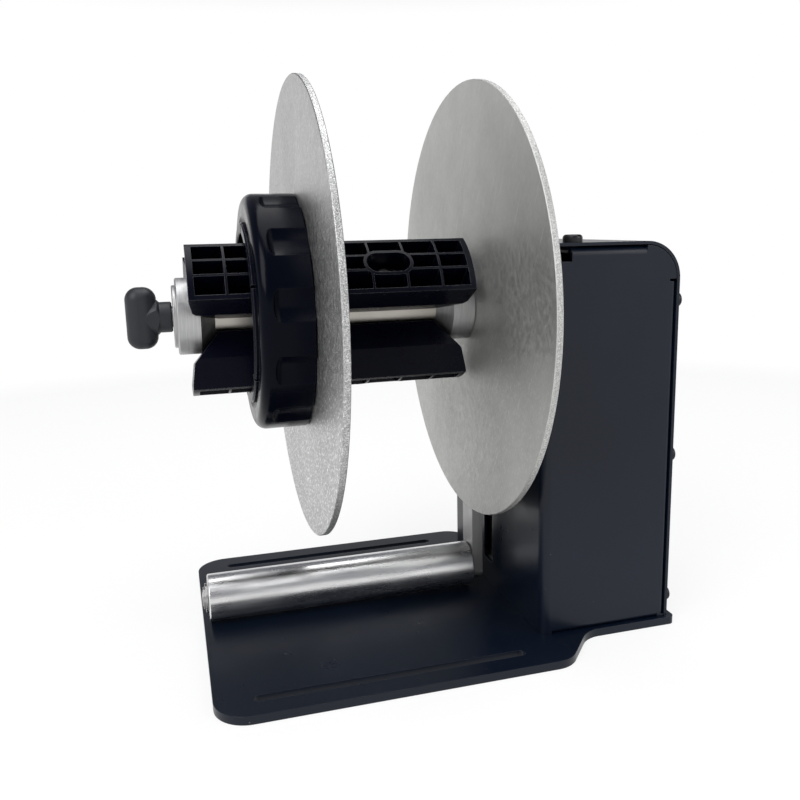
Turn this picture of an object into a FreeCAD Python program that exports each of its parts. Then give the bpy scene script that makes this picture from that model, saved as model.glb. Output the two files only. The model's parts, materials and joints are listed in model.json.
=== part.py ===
import FreeCAD, Part
import os
from math import sin, cos, tan, atan2, degrees, radians, pi, sqrt
from FreeCAD import Vector as V

os.makedirs("parts", exist_ok=True)

# Frame: X along the spindle with the housing at +X, Z up, origin at the centre of the base underside.

# Base plate
BASE_FRONT_X = -116.0
BASE_TAIL = 5.6
BASE_HALF_W = 89.0
BASE_T = 4.0
BASE_TAIL_HALF_W = 66.0
BASE_CORNER_R = 16.0
BASE_TAIL_R = 3.0
S_AHEAD = 2.0
S_BEND_R = 14.0
S_ANGLE = 50.0
SLOT_W = 5.0
SLOT_EDGE_IN = 13.0
SLOT_FRONT_IN = 17.0
SLOT_REAR_GAP = 14.0

# Housing
SHEET = 1.5
FRONT_X = 42.0
HOUSING_DEPTH = 68.4
SIDE_Y = 64.0
SIDE_TOP_Z = 192.5
BEND_R = 4.5
TOP_BEND_R = 4.0
FLANGE_W = 13.0
FLANGE_BEND_R = 2.4
TOP_TAB_IN = 12.0
COVER_GAP = 0.4
COVER_CORNER_R = 18.0
NOTCH_L = 13.5
NOTCH_H = 6.5
RELIEF = 1.2
FRONT_HOLE_R = 22.0

# Spindle
SPINDLE_Z = 163.0
SHAFT_R = 10.0
SHAFT_X0 = -112.0
SHAFT_END = 4.0
STUD_R = 5.0
STUD_BORE_CLEAR = 0.05
STUD_BORE_X1 = -86.0

# Flanges
DISC_R = 110.0
DISC_T = 3.0
DISC_EDGE = 0.35
INNER_DISC_X = 26.0
OUTER_DISC_X = -61.0
HUB_R = 24.0
HUB_T = 7.0

# Mandrel
MANDREL_R = 38.2
SEG_X0 = -113.5
SEG_X1 = 19.5
SEG_BAYS = 8
SEG_CENTRES = (39.0, -81.0, 159.0)
SEG_HALF_ANGLE = 23.4
SEG_BEND_A = 20.8
SEG_BEND_B = 13.8
SEG_LIP_B = 7.7
SEG_GROOVE_A = 1.36
SEG_GROOVE_FIT = 0.34
SEG_END_A = 22.8
SEG_END_DROP = 2.0
SEG_SIDE_WALL = 2.0
SEG_END_WALL = 2.8
SEG_RIB = 1.1
SEG_RIB_B = 4.1
CELL_FLOOR_A = 22.5
BOSS_OFFSET = 25.2
BOSS_L = 24.0
BOSS_W = 13.8
BOSS_WALL = 1.5
BOSS_FLOOR_A = 24.2
GUIDE_SLOT_L = 12.0
GUIDE_SLOT_W = 6.4
GUIDE_SCREW_R = 2.5
GUIDE_HEAD_R = 4.4
GUIDE_HEAD_H = 3.4
GUIDE_SCREW_A0 = 6.4

# Cones
CONE_ANGLE = 50.0
CONE_R = 18.2
INNER_CONE_X = 7.5
OUTER_CONE_X = -101.3
OUTER_COLLAR_X = -118.6
COLLAR_CAP_R = 14.8
COLLAR_CAP_T = 1.6
COLLAR_WALL = 1.8
SHAFT_FIT = 0.05

# Knob
KNOB_GAP = 0.3
KNOB_STEM_R = 7.2
KNOB_STEM_L = 6.8
KNOB_FLARE = 1.2
KNOB_HEAD_X = 14.0
KNOB_HEAD_Y = 14.6
KNOB_HEAD_Z = 28.8
KNOB_ROUND = 5.8
STUD_END_X = -94.0
STUD_RING_R = 8.2
STUD_RING_T = 1.5

# Clamp hub and lock ring
HUB_BORE_R = 38.3
HUB_SPIGOT_R = 41.0
HUB_FLANGE_R = 49.5
HUB_FLANGE_T = 2.6
HUB_SLEEVE_R = 43.4
HUB_FRONT_X = -87.0
HUB_SPLITS = 6
HUB_SPLIT_W = 1.6
RING_R = 56.5
RING_X0 = -85.5
RING_BACK_GAP = 0.35
RING_BORE_R = 43.75
RING_POCKET_R = 50.2
RING_FLUTES = 12
RING_FLUTE_AT = 21.8
RING_FLUTE_R = 16.0
RING_FLUTE_DEPTH = 2.2
RING_FLUTE_END_R = 3.0
RING_LIP_W = 6.0
RING_LIP_R = 5.0
RING_MOUTH_R = 46.4
RING_MOUTH_DEPTH = 2.2

# Dancer and roller
DANCER_Y = 7.0
ROLLER_Z = 16.4
ROLLER_R = 12.0
ROLLER_X0 = -112.9
ROLLER_GAP = 0.4
ROLLER_WALL = 1.5
ROLLER_PLUG = 12.0
AXLE_R = 4.0
AXLE_FIT = 0.05
AXLE_END = 0.5
CAP_GAP = 0.3
CAP_R = 7.4
CAP_T = 1.2
CAP_HUB_R = 5.6
CAP_HUB_T = 1.0
CAP_NOTCH_W = 3.0
ARM_GAP = 0.6
ARM_T = 6.0
ARM_W = 15.0
ARM_TOP_Z = 78.0
ARM_CORNER_R = 4.0
ARM_SCREW_IN = 6.0
ARM_SCREW_HEAD_H = 3.0
STUB_W = 10.8
STUB_Z0 = 48.0
STUB_Z1 = 68.0
WINDOW_W = 12.4
WINDOW_Z0 = 16.5
WINDOW_Z1 = 94.0
CARRIAGE_GAP = 0.7
CARRIAGE_T = 10.0
CARRIAGE_HALF_Y = 14.5
ROD_R = 3.0
ROD_BACK = 4.8
ROD_DY = 8.4
ROD_FIT = 0.05
ROD_LOWER_H = 12.0
ROD_UPPER_H = 9.0
ROD_TOP_Z = 106.0
ROD_STOP_R = 5.0
ROD_STOP_H = 4.0
SEAT_GAP = 0.3

# Bearings and drive
BRG_R = 21.0
BRG_T = 12.0
BLOCK_R = 25.0
BLOCK_PLATE = 54.0
BLOCK_PLATE_T = 4.0
BLOCK_DEPTH = 15.0
BLOCK_CORNER_R = 8.0
BLOCK_HOLE_R = 2.2
BLOCK_HOLE_IN = 6.0
BRACKET_IN = 26.4
BRACKET_T = 3.0
BRACKET_HALF_Y = 48.0
BRACKET_CORNER_R = 12.0
BRACKET_TOP_Z = 186.0
BRACKET_FOOT = 20.0
BRACKET_FOOT_HALF_Y = 30.0
BRACKET_CUT_Y = (6.0, 38.0)
BRACKET_CUT_Z = (30.0, 118.0)
MOTOR_Y = -34.0
MOTOR_Z = 100.0
MOTOR_R = 20.0
MOTOR_L = 39.0
GEARBOX_L = 16.4
MOTOR_STEP = 2.0
MOTOR_CAP_L = 3.0
MOTOR_BOSS_R = 7.6
MOTOR_BOSS_T = 2.4
MOTOR_BORE_L = 12.0
MOTOR_SHAFT_R = 4.0
PULLEY_BACK = 6.0
PULLEY_T = 11.0
PULLEY_FLANGE_T = 1.2
PULLEY_RIM = 2.4
TOOTH_PITCH = 5.0
TOOTH_R = 1.1
SPINDLE_PULLEY_R = 24.0
MOTOR_PULLEY_R = 12.0
BELT_T = 1.8
BELT_GAP = 0.05
BELT_SIDE = 0.4
BOARD_L = 50.0
BOARD_H = 60.0
BOARD_T = 1.6
BOARD_AHEAD = 6.5
BOARD_Z0 = 62.0
BOARD_GAP = 6.0
SPACER_R = 2.5
SPACER_IN = 4.0

# Rear panel controls
ROCKER_Y = 40.0
ROCKER_Z = 128.0
ROCKER_W = 13.0
ROCKER_H = 19.0
ROCKER_DEPTH = 2.0
ROCKER_TILT = 8.0
ROCKER_PIN_R = 1.2
ROCKER_PIN_L = 0.6
INLET_Y = 40.0
INLET_Z = 40.0
SPEED_Y = -38.0
SPEED_Z = 150.0
SPEED_R = 9.0
SPEED_FLUTES = 10

# Screws
SCREW_R = 2.0
SCREW_HEAD_R = 3.6
SCREW_HEAD_H = 2.6
SCREW_SINK = 5.0
SCREW_CLEAR = 0.15
REAR_SCREW_Z = (14.5, 89.0, 166.0)
REAR_SCREW_IN = 4.5
TOP_SCREW_HEAD_R = 4.6
TOP_SCREW_HEAD_H = 3.6
TOP_SCREW_BACK = 17.0
TOP_SCREW_IN = 7.0
BASE_SCREW_BACK = 16.0
BASE_SCREW_AHEAD = 10.4
BASE_SCREW_IN = 8.0
SINK_DEPTH = 2.2
SINK_CLEAR = 0.2

# Derived
SIDE_REAR_X = FRONT_X + HOUSING_DEPTH
BASE_REAR_X = SIDE_REAR_X + BASE_TAIL
BRACKET_X = SIDE_REAR_X - BRACKET_IN
PULLEY_X0 = BRACKET_X + PULLEY_BACK
SHAFT_X1 = PULLEY_X0 + PULLEY_T + SHAFT_END
S_START_X = FRONT_X - S_AHEAD
SLOT_X0 = BASE_FRONT_X + SLOT_FRONT_IN
SLOT_X1 = FRONT_X - SLOT_REAR_GAP
SLOT_Y = BASE_HALF_W - SLOT_EDGE_IN
REAR_SCREW_Y = SIDE_Y - REAR_SCREW_IN
TOP_SCREW_X = FRONT_X + TOP_SCREW_BACK
TOP_SCREW_Y = SIDE_Y - TOP_SCREW_IN
BASE_SCREW_X = (FRONT_X + BASE_SCREW_BACK, SIDE_REAR_X - BASE_SCREW_AHEAD)
BASE_SCREW_Y = SIDE_Y - BASE_SCREW_IN
SIDE_CORNER_R = COVER_CORNER_R - SHEET - COVER_GAP
PLATE_IN_X = FRONT_X + SHEET
CARRIAGE_X0 = PLATE_IN_X + CARRIAGE_GAP
CARRIAGE_X1 = CARRIAGE_X0 + CARRIAGE_T
ROD_X = CARRIAGE_X0 + ROD_BACK
ARM_X0 = INNER_DISC_X + DISC_T + ARM_GAP
ROLLER_X1 = ARM_X0 - ROLLER_GAP
SIDE_IN_Y = SIDE_Y - SHEET
COVER_IN_X = SIDE_REAR_X + COVER_GAP
COVER_IN_Z = SIDE_TOP_Z + COVER_GAP
COVER_REAR_X = COVER_IN_X + SHEET
COVER_TOP_Z = COVER_IN_Z + SHEET
CONE_SLOPE = tan(radians(CONE_ANGLE))
CONE_LEN = (CONE_R - SHAFT_R) / CONE_SLOPE
SEG_OUT_A = MANDREL_R * cos(radians(SEG_HALF_ANGLE))
SEG_OUT_B = MANDREL_R * sin(radians(SEG_HALF_ANGLE))
SEG_PITCH = (SEG_X1 - SEG_X0) / SEG_BAYS
SEG_MID_X = (SEG_X0 + SEG_X1) / 2
SEG_GROOVE_R = SHAFT_R + SEG_GROOVE_FIT
SEG_LIP_A = SEG_GROOVE_A + sqrt(SEG_GROOVE_R ** 2 - SEG_LIP_B ** 2)
CAP_X0 = ROLLER_X0 - CAP_GAP - CAP_T
AXLE_X0 = CAP_X0 - CAP_HUB_T - AXLE_END
KNOB_BACK_X = OUTER_COLLAR_X - COLLAR_CAP_T - KNOB_GAP
KNOB_NECK_X = KNOB_BACK_X - KNOB_STEM_L
BLOCK_THROUGH_R = BRG_R - 3
ARM_SCREW_Z = (STUB_Z0 + ARM_SCREW_IN, STUB_Z1 - ARM_SCREW_IN)
AXIS_X = V(1, 0, 0)
ORIGIN = V(0, 0, 0)


def save(name, shape):
    """Clean a shape and write it as one STEP file."""
    solid = shape.removeSplitter()
    solid.exportStep("parts/" + name + ".step")
    print(name, len(solid.Solids), round(solid.Volume, 1))


def box(x0, x1, y0, y1, z0, z1):
    """Box from its limits."""
    return Part.makeBox(x1 - x0, y1 - y0, z1 - z0, V(x0, y0, z0))


def rod_x(r, x0, x1, y=0.0, z=SPINDLE_Z):
    """Cylinder along X."""
    return Part.makeCylinder(r, x1 - x0, V(x0, y, z), AXIS_X)


def rod_z(r, z0, z1, x, y):
    """Cylinder along Z."""
    return Part.makeCylinder(r, z1 - z0, V(x, y, z0), V(0, 0, 1))


def face_of(points):
    """Flat face from its corner points."""
    return Part.Face(Part.makePolygon(points + [points[0]]))


def turn_x(profile, y=0.0, z=SPINDLE_Z):
    """Turned piece about an X-parallel axis from (x, r) points."""
    pts = [V(x, y, z + r) for x, r in profile]
    return face_of(pts).revolve(V(0, y, z), AXIS_X, 360)


def obround(length, width, depth):
    """Obround prism centred on the origin, long along X, standing on Z=0."""
    half = length / 2 - width / 2
    body = Part.makeBox(2 * half, width, depth, V(-half, -width / 2, 0))
    for sx in (-1, 1):
        body = body.fuse(Part.makeCylinder(width / 2, depth, V(sx * half, 0, 0)))
    return body.removeSplitter()


def fillet_where(shape, radius, test):
    """Fillet the edges whose midpoint passes the test."""
    edges = [e for e in shape.Edges if test(e, e.valueAt((e.FirstParameter + e.LastParameter) / 2))]
    return shape.makeFillet(radius, edges) if edges else shape


def is_along(edge, axis):
    """True for a straight edge along an axis."""
    if not isinstance(edge.Curve, (Part.Line, Part.LineSegment)):
        return False
    d = edge.tangentAt(edge.FirstParameter)
    return abs(abs(d.dot(axis)) - 1) < 1e-6


def button_screw(head_r, head_h, shank_r, shank_l):
    """Button-head screw along +Z: the head's seat at Z=0, the shank below, a hex socket on top."""
    head = fillet_where(Part.makeCylinder(head_r, head_h), head_h * 0.45, lambda e, m: m.z > head_h - 0.01)
    shank = Part.makeCylinder(shank_r, shank_l, V(0, 0, -shank_l))
    pts = [V(shank_r * 0.68 * cos(pi / 3 * i), shank_r * 0.68 * sin(pi / 3 * i), head_h * 0.4)
           for i in range(6)]
    socket = face_of(pts).extrude(V(0, 0, head_h))
    return head.fuse(shank).cut(socket)


def place(shape, pos, direction):
    """Turn a piece made along +Z to a direction and move it."""
    out = shape.copy()
    out.Placement = FreeCAD.Placement(pos, FreeCAD.Rotation(V(0, 0, 1), direction))
    return out


def s_edge():
    """Points of one S-shaped edge of the base from the wide part to the tail."""
    a = radians(S_ANGLE)
    drop = BASE_HALF_W - BASE_TAIL_HALF_W
    line = (drop - 2 * S_BEND_R * (1 - cos(a))) / sin(a)
    mid = (S_START_X + S_BEND_R * sin(a), BASE_HALF_W - S_BEND_R * (1 - cos(a)))
    end = (mid[0] + line * cos(a), mid[1] - line * sin(a))
    tail = (end[0] + S_BEND_R * sin(a), BASE_TAIL_HALF_W)
    h = a / 2
    arc1 = (S_START_X + S_BEND_R * sin(h), BASE_HALF_W - S_BEND_R * (1 - cos(h)))
    arc2 = (tail[0] - S_BEND_R * sin(h), BASE_TAIL_HALF_W + S_BEND_R * (1 - cos(h)))
    return (S_START_X, BASE_HALF_W), arc1, mid, end, arc2, tail


def base_outline(z):
    """Closed wire of the base plate."""
    x0, x1 = BASE_FRONT_X, BASE_REAR_X
    edges = [Part.makeLine(V(x0, -BASE_HALF_W, z), V(x0, BASE_HALF_W, z)),
             Part.makeLine(V(x1, -BASE_TAIL_HALF_W, z), V(x1, BASE_TAIL_HALF_W, z))]
    for s in (-1, 1):
        p = [V(x, s * y, z) for x, y in s_edge()]
        edges.append(Part.makeLine(V(x0, s * BASE_HALF_W, z), p[0]))
        edges.append(Part.Arc(p[0], p[1], p[2]).toShape())
        edges.append(Part.makeLine(p[2], p[3]))
        edges.append(Part.Arc(p[3], p[4], p[5]).toShape())
        edges.append(Part.makeLine(p[5], V(x1, s * BASE_TAIL_HALF_W, z)))
    return Part.Wire(Part.__sortEdges__(edges))


def build_base_plate():
    """Base plate with rounded corners, two long slots and countersunk holes."""
    plate = Part.Face(base_outline(0)).extrude(V(0, 0, BASE_T)).removeSplitter()
    plate = fillet_where(plate, BASE_CORNER_R,
                         lambda e, m: is_along(e, V(0, 0, 1)) and m.x < BASE_FRONT_X + 1)
    plate = fillet_where(plate, BASE_TAIL_R,
                         lambda e, m: is_along(e, V(0, 0, 1)) and m.x > BASE_REAR_X - 1)
    slot = obround(SLOT_X1 - SLOT_X0, SLOT_W, BASE_T * 3)
    for s in (-1, 1):
        cut = slot.copy()
        cut.translate(V((SLOT_X0 + SLOT_X1) / 2, s * SLOT_Y, -BASE_T))
        plate = plate.cut(cut)
    for x in BASE_SCREW_X:
        for s in (-1, 1):
            hole_r = SCREW_R + SINK_CLEAR
            plate = plate.cut(rod_z(hole_r, -1, BASE_T + 1, x, s * BASE_SCREW_Y))
            sink = Part.makeCone(SCREW_HEAD_R + SINK_CLEAR, hole_r, SINK_DEPTH, V(x, s * BASE_SCREW_Y, 0))
            plate = plate.cut(sink)
    return plate


def side_blank():
    """Flat outline of one side wall, rounded at the upper rear."""
    r = SIDE_CORNER_R
    x1 = SIDE_REAR_X
    z1 = SIDE_TOP_Z
    x0 = FRONT_X + BEND_R
    q = r * (1 - cos(pi / 4))
    pts = [V(x0, 0, BASE_T), V(x1, 0, BASE_T), V(x1, 0, z1 - r), V(x1 - q, 0, z1 - q),
           V(x1 - r, 0, z1), V(x0, 0, z1)]
    edges = [Part.makeLine(pts[0], pts[1]), Part.makeLine(pts[1], pts[2]),
             Part.Arc(pts[2], pts[3], pts[4]).toShape(), Part.makeLine(pts[4], pts[5]),
             Part.makeLine(pts[5], pts[0])]
    return Part.Face(Part.Wire(edges))


def bent_flange(x0, x1, z, r, up):
    """Inward flange with a bend of radius r, along X, at the top (up=1) or bottom (up=-1)."""
    y0 = -SIDE_Y
    zz = z - up * r
    outer = Part.makeCylinder(r, x1 - x0, V(x0, y0 + r, zz), AXIS_X)
    bend = outer.cut(Part.makeCylinder(r - SHEET, x1 - x0, V(x0, y0 + r, zz), AXIS_X))
    if up > 0:
        bend = bend.common(box(x0, x1, y0, y0 + r, zz, z))
        flat = box(x0, x1, y0 + r, y0 + FLANGE_W, z - SHEET, z)
    else:
        bend = bend.common(box(x0, x1, y0, y0 + r, z, zz))
        flat = box(x0, x1, y0 + r, y0 + FLANGE_W, z, z + SHEET)
    return bend.fuse(flat)


def rear_flange(z0, z1):
    """Inward flange along the rear edge of the near side wall."""
    r = FLANGE_BEND_R
    y0 = -SIDE_Y
    x1 = SIDE_REAR_X
    outer = rod_z(r, z0, z1, x1 - r, y0 + r)
    bend = outer.cut(rod_z(r - SHEET, z0, z1, x1 - r, y0 + r))
    bend = bend.common(box(x1 - r, x1, y0, y0 + r, z0, z1))
    return bend.fuse(box(x1 - SHEET, x1, y0 + r, y0 + FLANGE_W, z0, z1))


def near_side():
    """Near side wall with top, rear and foot flanges and its relief notches."""
    r = FLANGE_BEND_R
    wall = side_blank().extrude(V(0, SHEET, 0))
    wall.translate(V(0, -SIDE_Y, 0))
    top0 = FRONT_X + NOTCH_L
    top1 = SIDE_REAR_X - SIDE_CORNER_R
    rear_z1 = SIDE_TOP_Z - SIDE_CORNER_R - RELIEF
    rear_z0 = BASE_T + RELIEF
    foot0 = FRONT_X + BEND_R + RELIEF
    foot1 = SIDE_REAR_X - r - RELIEF
    y0 = -SIDE_Y
    wall = wall.cut(box(top0, top1, y0 - 1, 0, SIDE_TOP_Z - TOP_BEND_R, SIDE_TOP_Z + 1))
    wall = wall.cut(box(SIDE_REAR_X - r, SIDE_REAR_X + 1, y0 - 1, 0, rear_z0, rear_z1))
    wall = wall.cut(box(foot0, foot1, y0 - 1, 0, 0, BASE_T + r))
    wall = wall.fuse([bent_flange(top0, top1, SIDE_TOP_Z, TOP_BEND_R, 1), rear_flange(rear_z0, rear_z1),
                      bent_flange(foot0, foot1, BASE_T, r, -1)])
    wall = wall.cut(box(FRONT_X - 1, top0, y0 - 1, y0 + FLANGE_W, SIDE_TOP_Z - NOTCH_H, SIDE_TOP_Z + 1))
    return wall.cut(box(SIDE_REAR_X - r - RELIEF, SIDE_REAR_X + 1, y0 - 1, y0 + FLANGE_W,
                        rear_z1, rear_z1 + RELIEF))


def front_plate():
    """Front plate with its two vertical bends, the top flange, spindle hole and dancer slot."""
    z0 = BASE_T
    z1 = SIDE_TOP_Z
    flat = SIDE_Y - BEND_R
    body = box(FRONT_X, FRONT_X + SHEET, -flat, flat, z0, z1)
    for s in (-1, 1):
        outer = rod_z(BEND_R, z0, z1 - NOTCH_H, FRONT_X + BEND_R, s * flat)
        bend = outer.cut(rod_z(BEND_R - SHEET, z0, z1 - NOTCH_H, FRONT_X + BEND_R, s * flat))
        y0, y1 = sorted((s * flat, s * SIDE_Y))
        body = body.fuse(bend.common(box(FRONT_X, FRONT_X + BEND_R, y0, y1, z0, z1)))
    tab = flat - TOP_TAB_IN
    body = body.fuse(box(FRONT_X, FRONT_X + FLANGE_W, -tab, tab, z1 - SHEET, z1))
    body = body.cut(rod_x(FRONT_HOLE_R, FRONT_X - 5, FRONT_X + 10))
    half = WINDOW_W / 2
    window = box(FRONT_X - 3, FRONT_X + 6, DANCER_Y - half, DANCER_Y + half, WINDOW_Z0, WINDOW_Z1)
    window = fillet_where(window, 2.5, lambda e, m: is_along(e, AXIS_X))
    return body.cut(window)


def build_housing():
    """Housing body: front plate and both sides bent from one sheet."""
    near = near_side()
    far = near.mirror(ORIGIN, V(0, 1, 0))
    body = front_plate().fuse([near, far])
    for z in REAR_SCREW_Z:
        for s in (-1, 1):
            body = body.cut(rod_x(SCREW_R, SIDE_REAR_X - 4, SIDE_REAR_X + 1, s * REAR_SCREW_Y, z))
    for s in (-1, 1):
        body = body.cut(rod_z(SCREW_R, SIDE_TOP_Z - 4, SIDE_TOP_Z + 1, TOP_SCREW_X, s * TOP_SCREW_Y))
        for x in BASE_SCREW_X:
            body = body.cut(rod_z(SCREW_R, BASE_T - 1, BASE_T + 3, x, s * BASE_SCREW_Y))
    return body


def build_cover():
    """Cover wrapped over the top, the rounded corner and the back."""
    r = COVER_CORNER_R
    x1 = COVER_REAR_X
    z1 = COVER_TOP_Z

    def skin(offset):
        q = (r - offset) * (1 - cos(pi / 4))
        a, b, rr = x1 - offset, z1 - offset, r - offset
        return [V(FRONT_X, 0, b), V(a - rr, 0, b), V(a - q, 0, b - q), V(a, 0, b - rr), V(a, 0, BASE_T + 0.4)]
    o = skin(0)
    i = skin(SHEET)
    edges = [Part.makeLine(o[0], o[1]), Part.Arc(o[1], o[2], o[3]).toShape(), Part.makeLine(o[3], o[4]),
             Part.makeLine(o[4], i[4]), Part.makeLine(i[4], i[3]), Part.Arc(i[3], i[2], i[1]).toShape(),
             Part.makeLine(i[1], i[0]), Part.makeLine(i[0], o[0])]
    cover = Part.Face(Part.Wire(edges)).extrude(V(0, 2 * SIDE_Y, 0))
    cover.translate(V(0, -SIDE_Y, 0))
    hole_r = SCREW_R + SCREW_CLEAR
    for s in (-1, 1):
        for z in REAR_SCREW_Z:
            cover = cover.cut(rod_x(hole_r, COVER_IN_X - 2, x1 + 2, s * REAR_SCREW_Y, z))
        cover = cover.cut(rod_z(hole_r, COVER_IN_Z - 2, z1 + 2, TOP_SCREW_X, s * TOP_SCREW_Y))
    cover = cover.cut(box(COVER_IN_X - 2, x1 + 2, ROCKER_Y - ROCKER_W / 2, ROCKER_Y + ROCKER_W / 2,
                          ROCKER_Z - ROCKER_H / 2, ROCKER_Z + ROCKER_H / 2))
    cover = cover.cut(rod_x(5.6, COVER_IN_X - 2, x1 + 2, INLET_Y, INLET_Z))
    cover = cover.cut(rod_x(3.8, COVER_IN_X - 2, x1 + 2, SPEED_Y, SPEED_Z))
    for i in range(5):
        vent = box(COVER_IN_X - 2, x1 + 2, -22, 22, 60 + 7 * i, 62.6 + 7 * i)
        cover = cover.cut(fillet_where(vent, 1.2, lambda e, m: is_along(e, AXIS_X)))
    return cover


def build_shaft():
    """Spindle shaft: drilled for the stud, with six threaded holes for the guide screws."""
    body = turn_x([(SHAFT_X0, 0), (SHAFT_X0, SHAFT_R - 0.8), (SHAFT_X0 + 0.8, SHAFT_R),
                   (SHAFT_X1 - 0.8, SHAFT_R), (SHAFT_X1, SHAFT_R - 0.8), (SHAFT_X1, 0)])
    body = body.cut(rod_x(STUD_R + STUD_BORE_CLEAR, SHAFT_X0 - 1, STUD_BORE_X1))
    for c in SEG_CENTRES:
        for x in boss_positions():
            start = radial_point(x, GUIDE_SCREW_A0 - 0.3, 0, c)
            hole = Part.makeCylinder(GUIDE_SCREW_R, SHAFT_R, start, radial_dir(c))
            body = body.cut(hole)
    return body


def radial_dir(centre):
    """Unit radial direction at an angle counted from -Y upwards."""
    a = radians(centre)
    return V(0, -cos(a), sin(a))


def radial_point(x, a, b, centre):
    """Point at axial x, radial distance a along a segment's centre line and tangential b."""
    u = radial_dir(centre)
    t = V(0, sin(radians(centre)), cos(radians(centre)))
    return V(x, 0, SPINDLE_Z) + u * a + t * b


def boss_positions():
    """Axial positions of the two obround bosses."""
    return (SEG_MID_X - BOSS_OFFSET, SEG_MID_X + BOSS_OFFSET)


def seg_outline():
    """Cross-section face of a segment in its own frame, at X=0."""
    p = [V(0, -SEG_OUT_B, SEG_OUT_A), V(0, 0, MANDREL_R), V(0, SEG_OUT_B, SEG_OUT_A),
         V(0, SEG_BEND_B, SEG_BEND_A), V(0, SEG_LIP_B, SEG_LIP_A), V(0, 0, SEG_GROOVE_A + SEG_GROOVE_R),
         V(0, -SEG_LIP_B, SEG_LIP_A), V(0, -SEG_BEND_B, SEG_BEND_A)]
    edges = [Part.Arc(p[0], p[1], p[2]).toShape(), Part.makeLine(p[2], p[3]), Part.makeLine(p[3], p[4]),
             Part.Arc(p[4], p[5], p[6]).toShape(), Part.makeLine(p[6], p[7]), Part.makeLine(p[7], p[0])]
    return Part.Face(Part.Wire(edges))


def seg_ends():
    """Side view of a segment with both chamfered ends, as a wide prism to intersect with."""
    def end(x_out, x_cone, s):
        slope = [(x_cone + s * (a - SHAFT_R) / CONE_SLOPE, a) for a in (SEG_LIP_A - 1, SEG_END_A)]
        return slope + [(x_out, SEG_OUT_A - SEG_END_DROP), (x_out, MANDREL_R + 1)]
    right = end(SEG_X1, INNER_CONE_X, 1)
    left = end(SEG_X0, OUTER_CONE_X, -1)
    half = SEG_OUT_B * 2
    pts = [V(x, -half, a) for x, a in right + left[::-1]]
    return face_of(pts).extrude(V(0, 2 * half, 0))


def seg_cells():
    """The open pockets between the ribs, in a segment's own frame."""
    t = SEG_RIB / 2
    inner_b = SEG_OUT_B - SEG_SIDE_WALL
    lanes = [(-inner_b, -SEG_RIB_B - t), (-SEG_RIB_B + t, SEG_RIB_B - t), (SEG_RIB_B + t, inner_b)]
    lean = (SEG_OUT_B - SEG_BEND_B) / (SEG_OUT_A - SEG_BEND_A)
    cells = []
    for i in range(SEG_BAYS):
        x0 = SEG_X0 + i * SEG_PITCH + (SEG_END_WALL if i == 0 else t)
        x1 = SEG_X0 + (i + 1) * SEG_PITCH - (SEG_END_WALL if i == SEG_BAYS - 1 else t)
        for b0, b1 in lanes:
            cut = lean * (SEG_OUT_A - CELL_FLOOR_A)
            f0 = b0 + (cut if b0 < -SEG_RIB_B - 1 else 0)
            f1 = b1 - (cut if b1 > SEG_RIB_B + 1 else 0)
            top = MANDREL_R + 2
            pts = [V(x0, f0, CELL_FLOOR_A), V(x0, f1, CELL_FLOOR_A), V(x0, b1, SEG_OUT_A),
                   V(x0, b1, top), V(x0, b0, top), V(x0, b0, SEG_OUT_A)]
            cells.append(face_of(pts).extrude(V(x1 - x0, 0, 0)))
    return cells


def build_segment_local():
    """One expanding mandrel segment in its own frame."""
    body = seg_outline().extrude(V(SEG_X1 - SEG_X0, 0, 0))
    body.translate(V(SEG_X0, 0, 0))
    body = body.common(seg_ends())
    cells = Part.makeCompound(seg_cells())
    posts = []
    holes = []
    for x in boss_positions():
        post = obround(BOSS_L, BOSS_W, MANDREL_R + 3 - CELL_FLOOR_A)
        post.translate(V(x, 0, CELL_FLOOR_A - 0.5))
        posts.append(post)
        pocket = obround(BOSS_L - 2 * BOSS_WALL, BOSS_W - 2 * BOSS_WALL, MANDREL_R)
        pocket.translate(V(x, 0, BOSS_FLOOR_A))
        slot = obround(GUIDE_SLOT_L, GUIDE_SLOT_W, MANDREL_R)
        slot.translate(V(x, 0, 0))
        holes.append(pocket)
        holes.append(slot)
    cells = cells.cut(Part.makeCompound(posts))
    body = body.cut(cells)
    for h in holes:
        body = body.cut(h)
    return body


def build_segment(centre):
    """A mandrel segment moved to its angle on the spindle."""
    seg = build_segment_local()
    u = radial_dir(centre)
    turn = FreeCAD.Rotation(AXIS_X, degrees(atan2(-u.y, u.z)))
    seg.Placement = FreeCAD.Placement(V(0, 0, SPINDLE_Z), turn)
    return seg


def build_guide_screw(x, centre):
    """Radial screw that holds a segment to the shaft."""
    seat = BOSS_FLOOR_A + 0.3
    shank = seat - GUIDE_SCREW_A0
    screw = button_screw(GUIDE_HEAD_R, GUIDE_HEAD_H, GUIDE_SCREW_R, shank)
    return place(screw, radial_point(x, seat, 0, centre), radial_dir(centre))


def build_inner_cone():
    """Fixed cone and collar beside the inner flange."""
    x = INNER_CONE_X
    return turn_x([(x, SHAFT_R), (x + CONE_LEN, CONE_R), (INNER_DISC_X - 0.5, CONE_R),
                   (INNER_DISC_X, CONE_R - 0.5), (INNER_DISC_X, SHAFT_R)])


def build_outer_cone():
    """Sliding cone and collar, closed at its front around the stud."""
    x = OUTER_CONE_X
    front = OUTER_COLLAR_X
    bore = SHAFT_R + SHAFT_FIT
    lip = (bore - SHAFT_R) / CONE_SLOPE
    inside = front + COLLAR_WALL
    pts = [(x - lip, bore), (x - CONE_LEN, CONE_R), (front + 0.6, CONE_R), (front, CONE_R - 0.6),
           (front, COLLAR_CAP_R), (front - COLLAR_CAP_T + 0.4, COLLAR_CAP_R),
           (front - COLLAR_CAP_T, COLLAR_CAP_R - 0.4), (front - COLLAR_CAP_T, STUD_R + SHAFT_FIT),
           (inside, STUD_R + SHAFT_FIT), (inside, bore)]
    return turn_x(pts)


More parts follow.
